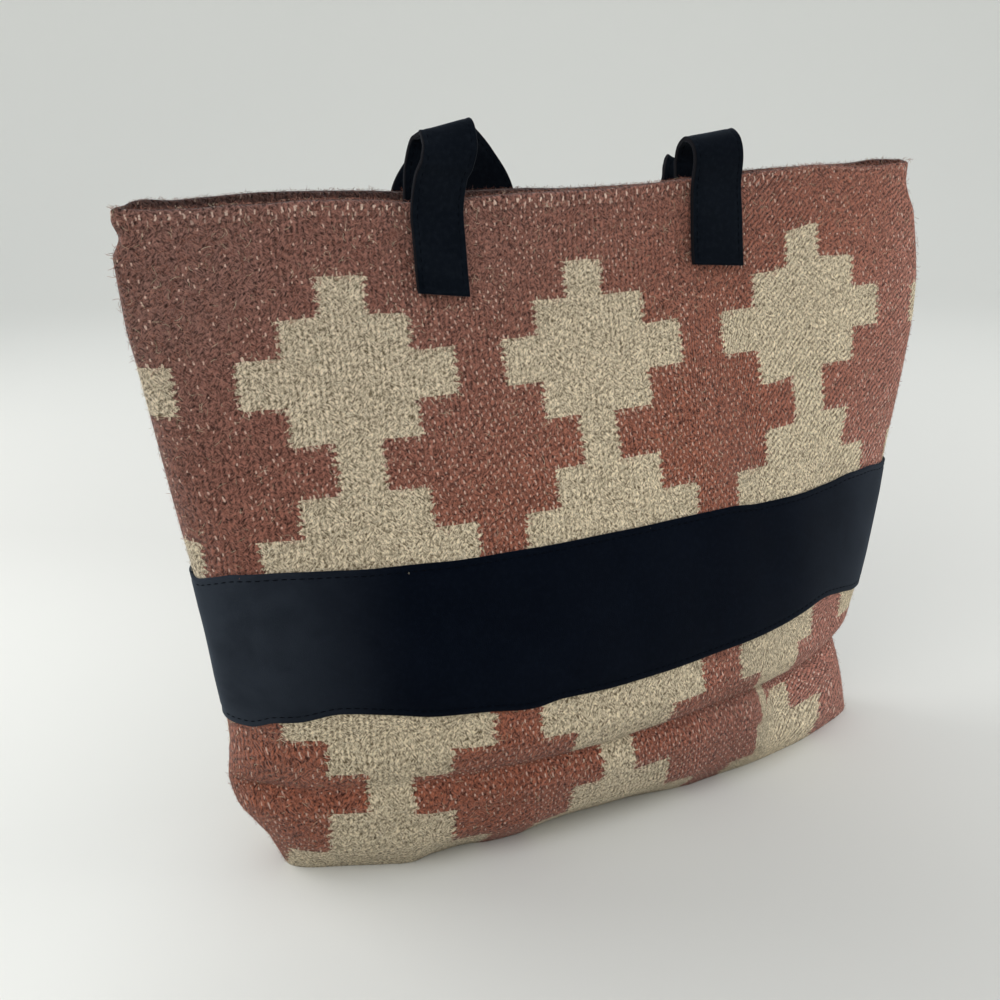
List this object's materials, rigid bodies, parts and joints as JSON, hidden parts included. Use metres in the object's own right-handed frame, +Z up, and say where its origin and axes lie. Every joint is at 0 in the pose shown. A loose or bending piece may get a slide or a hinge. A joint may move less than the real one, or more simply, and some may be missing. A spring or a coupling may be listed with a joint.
{
  "type": "tote bag",
  "caption": "Standing handwoven wool tote with stepped diamonds, a wide suede band and flat suede straps folded over its open rim.",
  "frame": {"origin": "middle of the bag's flat underside, on the surface it stands on, half way across the woven front", "axes": "+X across the front from the wearer's left strap to the right one, +Y from the front panel to the back panel, +Z up"},
  "size_m": [0.4625, 0.1564, 0.3818],
  "materials": {
    "woven_wool": "handwoven wool, brick red with cream stepped diamonds",
    "cotton_lining": "plain woven cotton",
    "suede_band": "near-black navy suede",
    "suede_strap": "near-black navy suede, doubled and sewn"
  },
  "bodies": {
    "root": {"woven_body": "woven_wool", "lining": "cotton_lining", "front_band": "suede_band", "back_band": "suede_band", "front_handle": "suede_strap", "back_handle": "suede_strap"}
  },
  "joints": []
}
